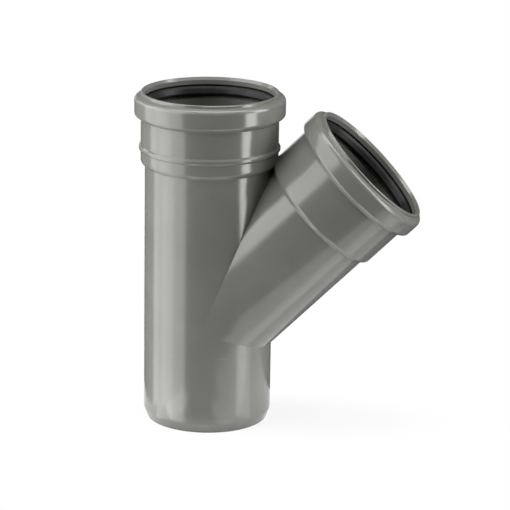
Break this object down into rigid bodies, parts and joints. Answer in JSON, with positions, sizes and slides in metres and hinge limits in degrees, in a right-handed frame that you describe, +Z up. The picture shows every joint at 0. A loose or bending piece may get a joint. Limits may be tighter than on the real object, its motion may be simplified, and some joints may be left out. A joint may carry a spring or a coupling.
{
  "type": "lateral wye pipe fitting",
  "caption": "Grey plastic 45-degree wye for drain pipe: a straight run and an angled branch, each with a beaded push-fit socket and black lip ring; plain spigot below.",
  "frame": {"origin": "centre of the spigot's end face, on the run's axis, where the fitting stands", "axes": "+Z up the run towards its socket; +X the side on which the branch leaves, so its axis points to (1, 0, 1); +Y across the fitting, away from the side that the picture shows"},
  "size_m": [0.2446, 0.1284, 0.2875],
  "materials": {
    "pipe_plastic": "semi-gloss, smooth moulded",
    "seal_rubber": "smooth black rubber, lightly greased"
  },
  "bodies": {
    "root": {"body": "pipe_plastic", "run_seal": "seal_rubber", "branch_seal": "seal_rubber"}
  },
  "joints": []
}
